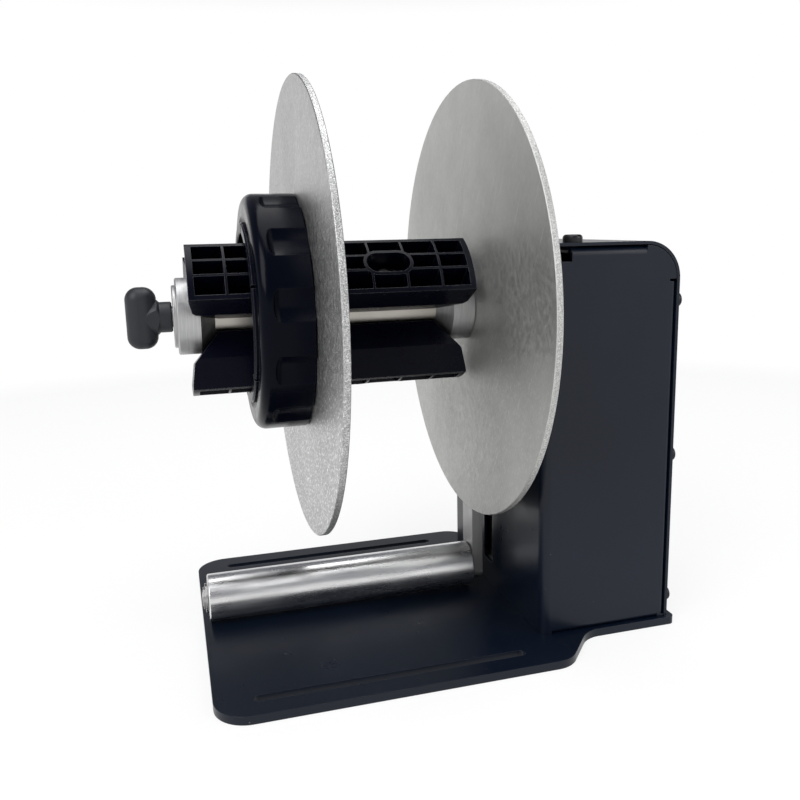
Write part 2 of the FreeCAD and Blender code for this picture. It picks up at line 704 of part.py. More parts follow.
def build_stud():
    """Clamp screw with its retaining ring."""
    x_ring = OUTER_COLLAR_X + COLLAR_WALL + 0.1
    tip = STUD_END_X
    root = KNOB_NECK_X + KNOB_GAP
    return turn_x([(root, 0), (root, STUD_R), (x_ring, STUD_R), (x_ring, STUD_RING_R),
                   (x_ring + STUD_RING_T, STUD_RING_R), (x_ring + STUD_RING_T, STUD_R),
                   (tip - 1.2, STUD_R), (tip, STUD_R - 1.2), (tip, 0)])


def build_knob():
    """T-shaped clamp knob with rounded wings."""
    back = KNOB_BACK_X
    neck = KNOB_NECK_X
    front = neck - KNOB_HEAD_X
    half_y = KNOB_HEAD_Y / 2
    half_z = KNOB_HEAD_Z / 2
    head = box(front, neck, -half_y, half_y, SPINDLE_Z - half_z, SPINDLE_Z + half_z)
    head = head.makeFillet(KNOB_ROUND, head.Edges)
    inside = neck - KNOB_ROUND
    stem = turn_x([(inside, 0), (inside, KNOB_STEM_R), (neck, KNOB_STEM_R + KNOB_FLARE),
                   (neck + KNOB_FLARE, KNOB_STEM_R), (back - 0.6, KNOB_STEM_R), (back, KNOB_STEM_R - 0.6),
                   (back, 0)])
    stem = stem.common(box(inside, back, -half_y, half_y, SPINDLE_Z - half_z, SPINDLE_Z + half_z))
    return head.fuse(stem).cut(rod_x(STUD_R, neck + KNOB_GAP, back + 1))


def disc_profile(x, bore):
    """Turned flange disc with broken edges."""
    e = DISC_EDGE
    return turn_x([(x, bore), (x, DISC_R - e), (x + e, DISC_R), (x + DISC_T - e, DISC_R),
                   (x + DISC_T, DISC_R - e), (x + DISC_T, bore)])


def build_flange_hub():
    """Hub behind the inner flange."""
    x0 = INNER_DISC_X + DISC_T
    hub = turn_x([(x0, SHAFT_R), (x0, HUB_R), (x0 + HUB_T - 1, HUB_R), (x0 + HUB_T, HUB_R - 1),
                  (x0 + HUB_T, SHAFT_R)])
    grub = Part.makeCylinder(2.1, HUB_R, V(x0 + HUB_T / 2, 0, SPINDLE_Z), V(0, -1, 0))
    return hub.cut(grub)


def build_clamp_hub():
    """Split clamping sleeve that carries the outer flange."""
    x = OUTER_DISC_X
    b = HUB_BORE_R
    hub = turn_x([(x + DISC_T, b + 0.4), (x + DISC_T, HUB_SPIGOT_R), (x, HUB_SPIGOT_R), (x, HUB_FLANGE_R),
                  (x - HUB_FLANGE_T, HUB_FLANGE_R), (x - HUB_FLANGE_T, HUB_SLEEVE_R),
                  (HUB_FRONT_X + 0.8, HUB_SLEEVE_R), (HUB_FRONT_X, HUB_SLEEVE_R - 0.8),
                  (HUB_FRONT_X, b + 0.5), (HUB_FRONT_X + 0.5, b), (x + DISC_T - 0.4, b)])
    for i in range(HUB_SPLITS):
        slit = box(HUB_FRONT_X - 1, x - HUB_FLANGE_T - 3, -HUB_SPLIT_W / 2, HUB_SPLIT_W / 2,
                   SPINDLE_Z + b - 2, SPINDLE_Z + HUB_SLEEVE_R + 1)
        slit.rotate(V(0, 0, SPINDLE_Z), AXIS_X, 360 / HUB_SPLITS * i + 9)
        hub = hub.cut(slit)
    return hub


def build_outer_flange():
    """Outer flange disc, pressed onto the hub's spigot."""
    return disc_profile(OUTER_DISC_X, HUB_SPIGOT_R)


def build_lock_ring():
    """Lock ring with a rounded lip, flutes that run out behind it and a stepped bore."""
    back = OUTER_DISC_X - RING_BACK_GAP
    x0 = RING_X0
    pocket_x = OUTER_DISC_X - HUB_FLANGE_T - 1.4
    lip = RING_LIP_R
    q = lip * (1 - cos(pi / 4))

    def p(x, r):
        return V(x, 0, SPINDLE_Z + r)
    pts = [p(back, RING_POCKET_R), p(back, RING_R - 0.6), p(back - 0.6, RING_R), p(x0 + lip, RING_R),
           p(x0 + q, RING_R - q), p(x0, RING_R - lip), p(x0, RING_MOUTH_R), p(x0 + RING_MOUTH_DEPTH, RING_BORE_R),
           p(pocket_x, RING_BORE_R), p(pocket_x, RING_POCKET_R)]
    edges = [Part.makeLine(pts[i], pts[i + 1]) for i in range(0, 3)]
    edges.append(Part.Arc(pts[3], pts[4], pts[5]).toShape())
    edges += [Part.makeLine(pts[i], pts[(i + 1) % 10]) for i in range(5, 10)]
    ring = Part.Face(Part.Wire(edges)).revolve(V(0, 0, SPINDLE_Z), AXIS_X, 360)
    dist = RING_R - RING_FLUTE_DEPTH + RING_FLUTE_R
    start = x0 + RING_LIP_W
    flutes = []
    for i in range(RING_FLUTES):
        a = radians(RING_FLUTE_AT) + 2 * pi * i / RING_FLUTES
        flute = rod_x(RING_FLUTE_R, start, back + 1, dist * cos(a), SPINDLE_Z + dist * sin(a))
        flutes.append(fillet_where(flute, RING_FLUTE_END_R, lambda e, m: abs(m.x - start) < 0.01))
    return ring.cut(flutes)


def build_dancer_arm():
    """Arm bar with its standoff block that passes through the slot."""
    x1 = ARM_X0 + ARM_T
    y0 = DANCER_Y - ARM_W / 2
    y1 = DANCER_Y + ARM_W / 2
    bar = box(ARM_X0, x1, y0, y1, ROLLER_Z - ARM_W / 2, ARM_TOP_Z)
    bar = fillet_where(bar, ARM_CORNER_R, lambda e, m: is_along(e, AXIS_X))
    stub = box(x1, CARRIAGE_X0, DANCER_Y - STUB_W / 2, DANCER_Y + STUB_W / 2, STUB_Z0, STUB_Z1)
    body = bar.fuse(stub)
    body = body.cut(rod_x(AXLE_R, ARM_X0 - 1, x1 + 1, DANCER_Y, ROLLER_Z))
    for z in ARM_SCREW_Z:
        body = body.cut(rod_x(SCREW_HEAD_R, ARM_X0 - 1, ARM_X0 + ARM_SCREW_HEAD_H, DANCER_Y, z))
        body = body.cut(rod_x(SCREW_R, ARM_X0, CARRIAGE_X0 + 1, DANCER_Y, z))
    return body


def build_arm_screw(z):
    """Socket screw that holds the arm to the carriage."""
    seat = ARM_X0 + ARM_SCREW_HEAD_H
    head = rod_x(SCREW_HEAD_R - SINK_CLEAR, ARM_X0 + SINK_CLEAR, seat, DANCER_Y, z)
    shank = rod_x(SCREW_R, seat, CARRIAGE_X0 + SCREW_SINK, DANCER_Y, z)
    socket = rod_x(SCREW_R * 0.7, ARM_X0, seat - 1, DANCER_Y, z)
    return head.fuse(shank).cut(socket)


def build_carriage():
    """Carriage on the two guide rods inside the housing."""
    y0 = DANCER_Y - CARRIAGE_HALF_Y
    y1 = DANCER_Y + CARRIAGE_HALF_Y
    body = box(CARRIAGE_X0, CARRIAGE_X1, y0, y1, STUB_Z0, STUB_Z1)
    body = fillet_where(body, 2.5, lambda e, m: is_along(e, V(0, 0, 1)))
    for s in (-1, 1):
        body = body.cut(rod_z(ROD_R + ROD_FIT, STUB_Z0 - 1, STUB_Z1 + 1, ROD_X, DANCER_Y + s * ROD_DY))
    for z in ARM_SCREW_Z:
        body = body.cut(rod_x(SCREW_R, CARRIAGE_X0 - 1, CARRIAGE_X0 + SCREW_SINK, DANCER_Y, z))
    return body


def build_guide_rod(y):
    """Guide rod with the turned shoulder that stops the carriage."""
    z1 = STUB_Z0 - SEAT_GAP
    stop = rod_z(ROD_STOP_R, z1 - ROD_STOP_H, z1, ROD_X, y)
    return rod_z(ROD_R, BASE_T, ROD_TOP_Z, ROD_X, y).fuse(stop)


def build_rod_block(z0, z1):
    """Block that holds both guide rods against the inside of the front plate."""
    y0 = DANCER_Y - CARRIAGE_HALF_Y
    y1 = DANCER_Y + CARRIAGE_HALF_Y
    body = box(PLATE_IN_X, CARRIAGE_X1, y0, y1, z0, z1)
    body = fillet_where(body, 2.0, lambda e, m: is_along(e, V(0, 0, 1)) and m.x > ROD_X)
    for s in (-1, 1):
        body = body.cut(rod_z(ROD_R, z0 - 1, z1 + 1, ROD_X, DANCER_Y + s * ROD_DY))
    return body


def build_roller():
    """Idler roller: a tube with a plug at each end."""
    x0, x1 = ROLLER_X0, ROLLER_X1
    bore = AXLE_R + AXLE_FIT
    inside = ROLLER_R - ROLLER_WALL
    return turn_x([(x0, bore), (x0, ROLLER_R - 0.5), (x0 + 0.5, ROLLER_R), (x1 - 0.5, ROLLER_R),
                   (x1, ROLLER_R - 0.5), (x1, bore), (x1 - ROLLER_PLUG, bore), (x1 - ROLLER_PLUG, inside),
                   (x0 + ROLLER_PLUG, inside), (x0 + ROLLER_PLUG, bore)], DANCER_Y, ROLLER_Z)


def build_axle():
    """Fixed roller axle."""
    return rod_x(AXLE_R, AXLE_X0, ARM_X0 + ARM_T, DANCER_Y, ROLLER_Z)


def build_axle_cap():
    """Stepped retaining clip on the free end of the axle, open at the top."""
    x0 = CAP_X0 - CAP_HUB_T
    x1 = CAP_X0 + CAP_T
    cap = turn_x([(x0, AXLE_R), (x0, CAP_HUB_R), (CAP_X0, CAP_HUB_R), (CAP_X0, CAP_R), (x1, CAP_R),
                  (x1, AXLE_R)], DANCER_Y, ROLLER_Z)
    half = CAP_NOTCH_W / 2
    return cap.cut(box(x0 - 1, x1 + 1, DANCER_Y - half, DANCER_Y + half, ROLLER_Z, ROLLER_Z + CAP_R + 1))


def build_bearing(x0):
    """Ball bearing with its shields shown as grooves."""
    x1 = x0 + BRG_T
    r0, r1 = SHAFT_R + 0.02, BRG_R
    g0, g1 = r0 + 3.2, r1 - 3.2
    d = 0.8
    return turn_x([(x0, r0), (x0, g0), (x0 + d, g0), (x0 + d, g1), (x0, g1), (x0, r1), (x1, r1), (x1, g1),
                   (x1 - d, g1), (x1 - d, g0), (x1, g0), (x1, r0)])


def build_block(seat_x, s):
    """Bearing block with a square foot; s is the direction from the foot to the barrel."""
    t, d = BLOCK_PLATE_T, BLOCK_DEPTH
    half = BLOCK_PLATE / 2
    x0, x1 = sorted((seat_x, seat_x + s * t))
    foot = box(x0, x1, -half, half, SPINDLE_Z - half, SPINDLE_Z + half)
    foot = fillet_where(foot, BLOCK_CORNER_R, lambda e, m: is_along(e, AXIS_X))
    b0, b1 = sorted((seat_x, seat_x + s * d))
    body = foot.fuse(rod_x(BLOCK_R, b0, b1))
    c0, c1 = sorted((seat_x + s * (d - BRG_T), seat_x + s * (d + 1)))
    body = body.cut(rod_x(BRG_R, c0, c1))
    body = body.cut(rod_x(BLOCK_THROUGH_R, b0 - 1, b1 + 1))
    at = half - BLOCK_HOLE_IN
    for y in (-at, at):
        for z in (SPINDLE_Z - at, SPINDLE_Z + at):
            body = body.cut(rod_x(BLOCK_HOLE_R, x0 - 1, x1 + 1, y, z))
    return body


def build_bracket():
    """Bent inner bracket that carries the rear bearing and the motor."""
    x0, x1 = BRACKET_X, BRACKET_X + BRACKET_T
    up = box(x0, x1, -BRACKET_HALF_Y, BRACKET_HALF_Y, BASE_T, BRACKET_TOP_Z)
    up = fillet_where(up, BRACKET_CORNER_R, lambda e, m: is_along(e, AXIS_X) and m.z > BRACKET_TOP_Z - 1)
    foot = box(x0, x1 + BRACKET_FOOT, -BRACKET_FOOT_HALF_Y, BRACKET_FOOT_HALF_Y, BASE_T, BASE_T + BRACKET_T)
    body = up.fuse(foot)
    body = body.cut(rod_x(BLOCK_THROUGH_R, x0 - 1, x1 + 1))
    body = body.cut(rod_x(MOTOR_BOSS_R + 0.4, x0 - 1, x1 + 1, MOTOR_Y, MOTOR_Z))
    return body.cut(box(x0 - 1, x1 + 1, *BRACKET_CUT_Y, *BRACKET_CUT_Z))


def build_motor():
    """Gear motor: gearbox with a face boss, motor can and end cap."""
    x1 = BRACKET_X
    x0 = x1 - MOTOR_L
    front = x1 + MOTOR_BOSS_T
    can = MOTOR_R - MOTOR_STEP
    bore = MOTOR_SHAFT_R + SHAFT_FIT
    return turn_x([(front, bore), (front, MOTOR_BOSS_R), (x1, MOTOR_BOSS_R), (x1, MOTOR_R),
                   (x1 - GEARBOX_L, MOTOR_R), (x1 - GEARBOX_L, can), (x0 + MOTOR_CAP_L, can),
                   (x0 + MOTOR_CAP_L, can - MOTOR_STEP), (x0, can - MOTOR_STEP), (x0, 0),
                   (x1 - MOTOR_BORE_L, 0), (x1 - MOTOR_BORE_L, bore)], MOTOR_Y, MOTOR_Z)


def build_pulley(r, bore, y, z):
    """Toothed pulley with two flanges."""
    x0 = PULLEY_X0
    x1 = x0 + PULLEY_T
    f = PULLEY_FLANGE_T
    rim = r + PULLEY_RIM
    body = turn_x([(x0, bore), (x0, rim), (x0 + f, rim), (x0 + f, r), (x1 - f, r), (x1 - f, rim),
                   (x1, rim), (x1, bore)], y, z)
    count = round(2 * pi * r / TOOTH_PITCH)
    teeth = []
    for i in range(count):
        a = 2 * pi * i / count
        teeth.append(rod_x(TOOTH_R, x0 + f, x1 - f, y + r * cos(a), z + r * sin(a)))
    return body.cut(Part.makeCompound(teeth))


def build_belt():
    """Flat loop of the drive belt round both pulleys."""
    r0, r1 = MOTOR_PULLEY_R + BELT_GAP, SPINDLE_PULLEY_R + BELT_GAP
    dy, dz = -MOTOR_Y, SPINDLE_Z - MOTOR_Z
    dist = sqrt(dy * dy + dz * dz)
    x0 = PULLEY_X0 + PULLEY_FLANGE_T + BELT_SIDE
    x1 = PULLEY_X0 + PULLEY_T - PULLEY_FLANGE_T - BELT_SIDE

    def loop(g):
        c = (r1 - r0) / dist
        s = sqrt(1 - c * c)
        ra, rb = r0 + g, r1 + g
        pts = [V(0, ra * s, -ra * c), V(0, rb * s, dist - rb * c), V(0, -rb * s, dist - rb * c),
               V(0, -ra * s, -ra * c)]
        edges = [Part.makeLine(pts[0], pts[1]), Part.Arc(pts[1], V(0, 0, dist + rb), pts[2]).toShape(),
                 Part.makeLine(pts[2], pts[3]), Part.Arc(pts[3], V(0, 0, -ra), pts[0]).toShape()]
        return Part.Face(Part.Wire(edges)).extrude(V(x1 - x0, 0, 0))
    belt = loop(BELT_T).cut(loop(0))
    belt.rotate(ORIGIN, AXIS_X, -degrees(atan2(dy, dz)))
    belt.translate(V(x0, MOTOR_Y, MOTOR_Z))
    return belt


def build_rotor():
    """Motor output shaft with its pulley pressed on."""
    shaft = rod_x(MOTOR_SHAFT_R, BRACKET_X - MOTOR_BORE_L + 0.2, PULLEY_X0 + PULLEY_T + 1, MOTOR_Y, MOTOR_Z)
    return shaft.fuse(build_pulley(MOTOR_PULLEY_R, MOTOR_SHAFT_R, MOTOR_Y, MOTOR_Z))


def build_board():
    """Control board on four spacers from the far side wall."""
    back = SIDE_IN_Y - BOARD_GAP
    face = back - BOARD_T
    x0 = PLATE_IN_X + BOARD_AHEAD
    x1 = x0 + BOARD_L
    z0 = BOARD_Z0
    z1 = z0 + BOARD_H
    body = box(x0, x1, face, back, z0, z1)
    for x in (x0 + SPACER_IN, x1 - SPACER_IN):
        for z in (z0 + SPACER_IN, z1 - SPACER_IN):
            body = body.fuse(Part.makeCylinder(SPACER_R, BOARD_GAP, V(x, back, z), V(0, 1, 0)))
    relay = box(x0 + BOARD_L * 0.16, x0 + BOARD_L * 0.48, face - BOARD_GAP * 1.4, face,
                z0 + BOARD_H * 0.13, z0 + BOARD_H * 0.37)
    driver = box(x0 + BOARD_L * 0.6, x0 + BOARD_L * 0.84, face - BOARD_GAP * 0.7, face,
                 z0 + BOARD_H * 0.17, z0 + BOARD_H * 0.5)
    plug = box(x0 + BOARD_L * 0.76, x0 + BOARD_L * 0.96, face - BOARD_GAP * 1.2, face,
               z0 + BOARD_H * 0.67, z0 + BOARD_H * 0.84)
    body = body.fuse([relay, driver, plug])
    for z in (z0 + BOARD_H * 0.6, z0 + BOARD_H * 0.8):
        capacitor = Part.makeCylinder(SPACER_R * 1.6, BOARD_GAP * 1.8, V(x0 + BOARD_L * 0.28, face, z), V(0, -1, 0))
        body = body.fuse(capacitor)
    return body


def build_inlet():
    """Barrel inlet with its nut inside and flange outside."""
    x1 = COVER_REAR_X
    body = turn_x([(x1 + 1.8, 3.2), (x1 + 1.8, 6.6), (x1 + 1.4, 7.0), (x1, 7.0), (x1, 5.4), (x1 - 14, 5.4),
                   (x1 - 14, 0), (x1 - 9.5, 0), (x1 - 9.5, 3.2)], INLET_Y, INLET_Z)
    pin = rod_x(1.0, x1 - 9.8, x1 + 0.4, INLET_Y, INLET_Z)
    nut = turn_x([(COVER_IN_X - 2.4, 5.4), (COVER_IN_X - 2.4, 7.4), (COVER_IN_X, 7.4), (COVER_IN_X, 5.4)],
                 INLET_Y, INLET_Z)
    return body.fuse([pin, nut])


def build_rocker_frame():
    """Frame of the rocker switch with its body behind the cover."""
    x1 = COVER_REAR_X
    hw, hh = ROCKER_W / 2 - 0.1, ROCKER_H / 2 - 0.1
    y, z = ROCKER_Y, ROCKER_Z
    rim = box(x1, x1 + 1.6, y - hw - 1.4, y + hw + 1.4, z - hh - 1.4, z + hh + 1.4)
    rim = fillet_where(rim, 1.0, lambda e, m: is_along(e, AXIS_X))
    body = rim.fuse(box(x1 - 15, x1, y - hw, y + hw, z - hh, z + hh))
    body = body.cut(box(x1 - 9, x1 + 3, y - hw + 1, y + hw - 1, z - hh + 1, z + hh - 1))
    for s in (-1, 1):
        body = body.fuse(box(x1 - 19, x1 - 15, y - 0.4, y + 0.4, z + s * 5 - 2.2, z + s * 5 + 2.2))
    half = hw - 1 + ROCKER_PIN_L
    pin = Part.makeCylinder(ROCKER_PIN_R + SHAFT_FIT, 2 * half, V(x1 - ROCKER_DEPTH, y - half, z), V(0, 1, 0))
    return body.cut(pin)


def build_rocker():
    """Rocker paddle, tilted to one side at rest."""
    x1 = COVER_REAR_X
    hw = ROCKER_W / 2 - 0.1 - 1 - 0.3
    hh = ROCKER_H / 2 - 0.1 - 1 - 0.9
    y0, y1 = ROCKER_Y - hw, ROCKER_Y + hw
    p = x1 - ROCKER_DEPTH
    pts = [V(p + 3.9, y0, hh), V(p + 3.0, y0, 0), V(p + 3.9, y0, -hh), V(p - 2.0, y0, -hh),
           V(p - 4.5, y0, 0), V(p - 2.0, y0, hh)]
    body = face_of([v + V(0, 0, ROCKER_Z) for v in pts]).extrude(V(0, y1 - y0, 0))
    body.rotate(V(p, 0, ROCKER_Z), V(0, 1, 0), -ROCKER_TILT)
    pin = Part.makeCylinder(ROCKER_PIN_R, y1 - y0 + 2 * ROCKER_PIN_L, V(p, y0 - ROCKER_PIN_L, ROCKER_Z), V(0, 1, 0))
    return body.fuse(pin)


def build_speed_knob():
    """Speed knob with a skirt, flutes and a pointer groove."""
    x1 = COVER_REAR_X + 0.4
    body = turn_x([(x1, 0), (x1, SPEED_R), (x1 + 2.5, SPEED_R), (x1 + 3.2, SPEED_R - 1.4),
                   (x1 + 12, SPEED_R - 2.0), (x1 + 12.8, SPEED_R - 2.8), (x1 + 12.8, 0)], SPEED_Y, SPEED_Z)
    for i in range(SPEED_FLUTES):
        a = 2 * pi * (i + 0.5) / SPEED_FLUTES
        r = SPEED_R - 0.9
        body = body.cut(rod_x(0.9, x1 + 3.6, x1 + 13, SPEED_Y + r * cos(a), SPEED_Z + r * sin(a)))
    mark = box(x1 + 12.2, x1 + 13, SPEED_Y - 0.5, SPEED_Y + 0.5, SPEED_Z + 1.5, SPEED_Z + SPEED_R)
    return body.cut(mark).cut(rod_x(3.05, x1 - 1, x1 + 9, SPEED_Y, SPEED_Z))


def build_potentiometer():
    """Potentiometer body behind the cover with its fixed bush and spindle."""
    x = COVER_IN_X
    body = turn_x([(x, 0), (x, 8), (x - 9, 8), (x - 9, 0)], SPEED_Y, SPEED_Z)
    return body.fuse(rod_x(3.0, x, x + 9, SPEED_Y, SPEED_Z))


def build_base_screw(x, y):
    """Countersunk screw from below the base into the housing's foot."""
    head = Part.makeCone(SCREW_HEAD_R, SCREW_R, SINK_DEPTH, V(x, y, SINK_CLEAR))
    shank = rod_z(SCREW_R, SINK_DEPTH, BASE_T + SCREW_SINK, x, y)
    socket = rod_z(SCREW_R * 0.6, 0, SINK_DEPTH * 0.6, x, y)
    return head.fuse(shank).cut(socket)


def build_all():
    """Build and save every node."""
    save("base_plate", build_base_plate())
    save("housing_body", build_housing())
    save("cover", build_cover())
    n = 0
    for s in (-1, 1):
        for z in REAR_SCREW_Z:
            n += 1
            screw = button_screw(SCREW_HEAD_R, SCREW_HEAD_H, SCREW_R, SCREW_SINK)
            save("rear_screw_%d" % n, place(screw, V(COVER_REAR_X, s * REAR_SCREW_Y, z), AXIS_X))
    for i, s in enumerate((-1, 1)):
        screw = button_screw(TOP_SCREW_HEAD_R, TOP_SCREW_HEAD_H, SCREW_R, SCREW_SINK)
        save("top_screw_%d" % (i + 1), place(screw, V(TOP_SCREW_X, s * TOP_SCREW_Y, COVER_TOP_Z), V(0, 0, 1)))
    n = 0
    for x in BASE_SCREW_X:
        for s in (-1, 1):
            n += 1
            save("base_screw_%d" % n, build_base_screw(x, s * BASE_SCREW_Y))
    save("bearing_block_front", build_block(PLATE_IN_X, 1))
    save("bearing_front", build_bearing(PLATE_IN_X + BLOCK_DEPTH - BRG_T))
    save("bearing_block_rear", build_block(BRACKET_X, -1))
    save("bearing_rear", build_bearing(BRACKET_X - BLOCK_DEPTH))
    save("inner_bracket", build_bracket())
    save("gear_motor", build_motor())
    save("drive_belt", build_belt())
    save("control_board", build_board())
    save("dc_inlet", build_inlet())
    save("rocker_frame", build_rocker_frame())
    save("potentiometer", build_potentiometer())
    for i, s in enumerate((-1, 1)):
        save("guide_rod_%d" % (i + 1), build_guide_rod(DANCER_Y + s * ROD_DY))
    save("rod_block_lower", build_rod_block(BASE_T, BASE_T + ROD_LOWER_H))
    save("rod_block_upper", build_rod_block(ROD_TOP_Z - ROD_UPPER_H, ROD_TOP_Z))
    save("shaft", build_shaft())
    save("inner_cone", build_inner_cone())
    save("inner_flange", disc_profile(INNER_DISC_X, SHAFT_R))
    save("flange_hub", build_flange_hub())
    save("spindle_pulley", build_pulley(SPINDLE_PULLEY_R, SHAFT_R, 0, SPINDLE_Z))
    n = 0
    for i, c in enumerate(SEG_CENTRES):
        save("segment_%d" % (i + 1), build_segment(c))
        for x in boss_positions():
            n += 1
            save("guide_screw_%d" % n, build_guide_screw(x, c))
    save("outer_cone", build_outer_cone())
    save("clamp_knob", build_knob())
    save("clamp_stud", build_stud())
    save("outer_flange", build_outer_flange())
    save("clamp_hub", build_clamp_hub())
    save("lock_ring", build_lock_ring())
    save("dancer_arm", build_dancer_arm())
    for i, z in enumerate(ARM_SCREW_Z):
        save("arm_screw_%d" % (i + 1), build_arm_screw(z))
    save("carriage", build_carriage())
    save("roller_axle", build_axle())
    save("axle_cap", build_axle_cap())
    save("roller", build_roller())
    save("motor_rotor", build_rotor())
    save("rocker", build_rocker())
    save("speed_knob", build_speed_knob())


build_all()
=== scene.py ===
import bpy
import bmesh
import json
import math
from mathutils import Matrix, Vector

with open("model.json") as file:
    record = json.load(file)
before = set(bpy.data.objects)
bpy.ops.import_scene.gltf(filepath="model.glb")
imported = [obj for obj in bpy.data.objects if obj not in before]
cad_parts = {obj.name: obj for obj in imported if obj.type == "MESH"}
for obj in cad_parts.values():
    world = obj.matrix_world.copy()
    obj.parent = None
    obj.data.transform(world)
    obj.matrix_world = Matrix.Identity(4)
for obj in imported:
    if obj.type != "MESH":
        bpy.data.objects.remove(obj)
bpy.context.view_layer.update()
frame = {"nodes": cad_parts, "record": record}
NODES = frame["nodes"]

# Camera, solved from the flange discs and the base in the 800 x 800 photograph
IMAGE_SIZE = 800
FOCAL_PX = 841.766
CENTRE_PX = (418.501, 388.776)
SENSOR_MM = 36.0
CAMERA_AT = Vector((-0.122307, -0.414570, 0.203789))
CAMERA_RIGHT = Vector((0.957726, -0.287115, -0.018054))
CAMERA_UP = Vector((0.071993, 0.178440, 0.981313))

# Slant of the discs' scratches, and the heights in metres between which the painted glare on the grain fades
HAIR_TURN = math.radians(28)
PAINTED_GLARE_LOW, PAINTED_GLARE_HIGH = 0.13, 0.22

# Backdrop
WHITE = (1, 1, 1, 1)
ROOM_ABOVE = (0.20, 0.205, 0.225, 1)
BACKDROP_TOP, BACKDROP_FADE = 0.34, 0.22
FLOOR_RADIUS = 6.0
FLOOR_DROP = 0.0002
FLOOR_COLOR = (0.88, 0.88, 0.88)
FLOOR_GLOW = 0.82
FLOOR_FADE = (0.2, 0.9)

# Lamps: name, place, target, size and power in watts
LAMPS = (
    ("key", (-0.9, -0.7, 1.1), (0, 0, 0.12), (0.9, 0.9), 16),
    ("top", (0.1, 0.1, 1.3), (0, 0, 0.1), (1.0, 1.0), 10),
    ("fill", (1.0, -0.9, 0.8), (0, 0, 0.12), (0.8, 0.8), 7),
)

# Sockets of a colour Mix node
MIX_A, MIX_B, MIX_RESULT = 6, 7, 2


class Shader:
    """One node material around a Principled BSDF."""

    def __init__(self, name, color, roughness, metallic=0.0, specular=0.5):
        self.material = bpy.data.materials.new(name)
        self.material.use_nodes = True
        self.tree = self.material.node_tree
        self.bsdf = self.tree.nodes["Principled BSDF"]
        self.set("Base Color", (*color, 1.0))
        self.set("Roughness", roughness)
        self.set("Metallic", metallic)
        self.set("Specular IOR Level", specular)
        self.coord = self.node("ShaderNodeTexCoord").outputs["Object"]
        self.normal = None

    def node(self, kind, **settings):
        """New node with the given attributes."""
        made = self.tree.nodes.new(kind)
        for key, value in settings.items():
            setattr(made, key, value)
        return made

    def link(self, source, target):
        self.tree.links.new(source, target)

    def set(self, socket, value):
        self.bsdf.inputs[socket].default_value = value

    def feed(self, socket, source):
        self.link(source, self.bsdf.inputs[socket])

    def stretched(self, scale, turn=0.0):
        """Object coordinates turned about X and scaled along each axis."""
        made = self.node("ShaderNodeMapping")
        made.vector_type = "TEXTURE" if turn else "POINT"
        made.inputs["Rotation"].default_value = (turn, 0, 0)
        made.inputs["Scale"].default_value = tuple(1 / k for k in scale) if turn else scale
        self.link(self.coord, made.inputs["Vector"])
        return made.outputs["Vector"]

    def noise(self, scale, detail=3.0, stretch=(1, 1, 1), roughness=0.5, turn=0.0):
        """Noise value with scale in cells per metre."""
        made = self.node("ShaderNodeTexNoise")
        made.inputs["Scale"].default_value = scale
        made.inputs["Detail"].default_value = detail
        made.inputs["Roughness"].default_value = roughness
        self.link(self.stretched(stretch, turn), made.inputs["Vector"])
        return made.outputs["Fac"]

    def spread(self, source, low, high, to_low, to_high):
        """Maps low..high to to_low..to_high, clamped."""
        made = self.node("ShaderNodeMapRange")
        for key, value in (("From Min", low), ("From Max", high), ("To Min", to_low), ("To Max", to_high)):
            made.inputs[key].default_value = value
        self.link(source, made.inputs["Value"])
        return made.outputs["Result"]

    def math(self, operation, a, b=0.0):
        made = self.node("ShaderNodeMath", operation=operation)
        for socket, value in zip(made.inputs, (a, b)):
            if isinstance(value, (int, float)):
                socket.default_value = value
            else:
                self.link(value, socket)
        return made.outputs[0]

    def mix(self, factor, color_a, color_b):
        """Mix of two colours, each an output or a tuple."""
        made = self.node("ShaderNodeMix", data_type="RGBA")
        self.link(factor, made.inputs["Factor"])
        for socket, value in ((made.inputs[MIX_A], color_a), (made.inputs[MIX_B], color_b)):
            if isinstance(value, tuple):
                socket.default_value = (*value, 1.0)
            else:
                self.link(value, socket)
        return made.outputs[MIX_RESULT]

    def rounded(self, radius):
        """Shading normal with edges rounded to a radius in metres."""
        made = self.node("ShaderNodeBevel")
        made.samples = 6
        made.inputs["Radius"].default_value = radius
        self.normal = made.outputs["Normal"]
        return self.normal

    def edge_mask(self, low, high):
        """1 on edges and 0 on flats, from the rounded normal."""
        plain = self.node("ShaderNodeNewGeometry").outputs["Normal"]
        dot = self.node("ShaderNodeVectorMath", operation="DOT_PRODUCT")
        self.link(self.normal, dot.inputs[0])
        self.link(plain, dot.inputs[1])
        bend = self.math("SUBTRACT", 1.0, dot.outputs["Value"])
        return self.spread(bend, low, high, 0.0, 1.0)

    def bump(self, height, depth, strength=1.0):
        """Adds a bump of a depth in metres on what the normal is so far."""
        made = self.node("ShaderNodeBump")
        made.inputs["Strength"].default_value = strength
        made.inputs["Distance"].default_value = depth
        self.link(height, made.inputs["Height"])
        if self.normal is not None:
            self.link(self.normal, made.inputs["Normal"])
        self.normal = made.outputs["Normal"]

    def done(self):
        if self.normal is not None:
            self.feed("Normal", self.normal)
        return self.material


